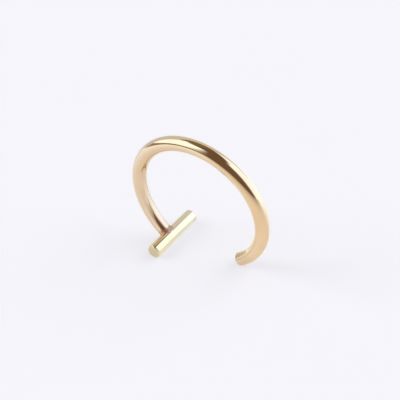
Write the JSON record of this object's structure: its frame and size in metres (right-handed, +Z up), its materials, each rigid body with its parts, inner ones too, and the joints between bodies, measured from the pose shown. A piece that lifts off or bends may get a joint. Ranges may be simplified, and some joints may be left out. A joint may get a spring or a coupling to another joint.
{
  "type": "lip ring",
  "caption": "Open round-wire hoop for the lip, with a short round cross bar soldered across one end and the other end free; it stands on the bar and the free end.",
  "frame": {"origin": "bottom centre of the bounding box, on the surface that the ring stands on", "axes": "+X from the cross bar towards the wire's free end, +Y along the cross bar, +Z up"},
  "size_m": [0.011, 0.005, 0.0099],
  "materials": {
    "gold": "polished yellow gold"
  },
  "bodies": {
    "root": {"lip_ring": "gold"}
  },
  "joints": []
}
